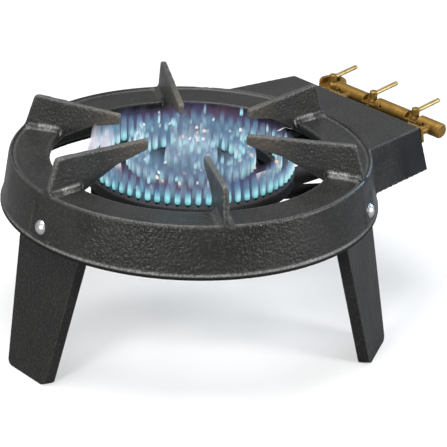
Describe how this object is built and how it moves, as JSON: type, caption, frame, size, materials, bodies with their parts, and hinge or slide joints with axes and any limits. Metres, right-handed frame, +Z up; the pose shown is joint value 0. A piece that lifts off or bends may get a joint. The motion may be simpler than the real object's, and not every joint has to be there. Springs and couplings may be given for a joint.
{
  "type": "propane burner stand",
  "caption": "Round cast-iron gas burner stand on splayed legs, with concentric burner rings, pot claws, a valve box and a brass manifold with lever taps.",
  "frame": {"origin": "on the floor, on the axis of the round burners", "axes": "+X towards the valve box and its taps, +Z up, +Y completes the right-handed frame"},
  "size_m": [0.5165, 0.3958, 0.2272],
  "materials": {
    "iron": "charcoal hammered enamel on cast iron, semi-gloss",
    "burner_iron": "bare cast iron, dark and heat-stained",
    "zinc": "bright zinc plating",
    "brass": "machined brass, slightly tarnished"
  },
  "bodies": {
    "base": {"body_casting": "iron", "front_leg": "iron", "left_leg": "iron", "right_leg": "iron", "support_bar": "iron", "leg_bolts": "zinc", "leg_washers": "zinc", "leg_nuts": "zinc", "bar_bolts": "zinc", "bar_nuts": "zinc", "burner_screws": "zinc", "manifold_screws": "zinc", "outer_burner": "burner_iron", "middle_burner": "burner_iron", "inner_burner": "burner_iron", "outer_cap": "burner_iron", "middle_cap": "burner_iron", "inner_cap": "burner_iron", "outer_jet": "brass", "middle_jet": "brass", "inner_jet": "brass", "shutter_nuts": "brass", "manifold": "brass", "rail_plug": "brass", "drilling_plugs": "brass"},
    "outer_valve": {"outer_plug": "brass", "outer_lever": "brass", "outer_spring_washer": "zinc", "outer_plug_nut": "brass"},
    "outer_air_shutter": {"outer_shutter": "zinc"},
    "middle_valve": {"middle_plug": "brass", "middle_lever": "brass", "middle_spring_washer": "zinc", "middle_plug_nut": "brass"},
    "middle_air_shutter": {"middle_shutter": "zinc"},
    "inner_valve": {"inner_plug": "brass", "inner_lever": "brass", "inner_spring_washer": "zinc", "inner_plug_nut": "brass"},
    "inner_air_shutter": {"inner_shutter": "zinc"}
  },
  "joints": [
    {"name": "outer_valve_turn", "type": "hinge", "parent": "base", "child": "outer_valve", "pos_m": [0.267, -0.0644, 0.19], "axis": [0, 0, 1], "range_deg": [-90, 0]},
    {"name": "inner_valve_turn", "type": "hinge", "parent": "base", "child": "inner_valve", "pos_m": [0.267, 0, 0.19], "axis": [0, 0, 1], "range_deg": [-90, 0]},
    {"name": "middle_valve_turn", "type": "hinge", "parent": "base", "child": "middle_valve", "pos_m": [0.267, 0.0644, 0.19], "axis": [0, 0, 1], "range_deg": [-90, 0]},
    {"name": "outer_air_shutter_turn", "type": "hinge", "parent": "base", "child": "outer_air_shutter", "pos_m": [0.217, -0.0644, 0.163], "axis": [1, 0, 0], "range_deg": [0, 60]},
    {"name": "inner_air_shutter_turn", "type": "hinge", "parent": "base", "child": "inner_air_shutter", "pos_m": [0.217, 0, 0.163], "axis": [1, 0, 0], "range_deg": [0, 60]},
    {"name": "middle_air_shutter_turn", "type": "hinge", "parent": "base", "child": "middle_air_shutter", "pos_m": [0.217, 0.0644, 0.163], "axis": [1, 0, 0], "range_deg": [0, 60]}
  ]
}
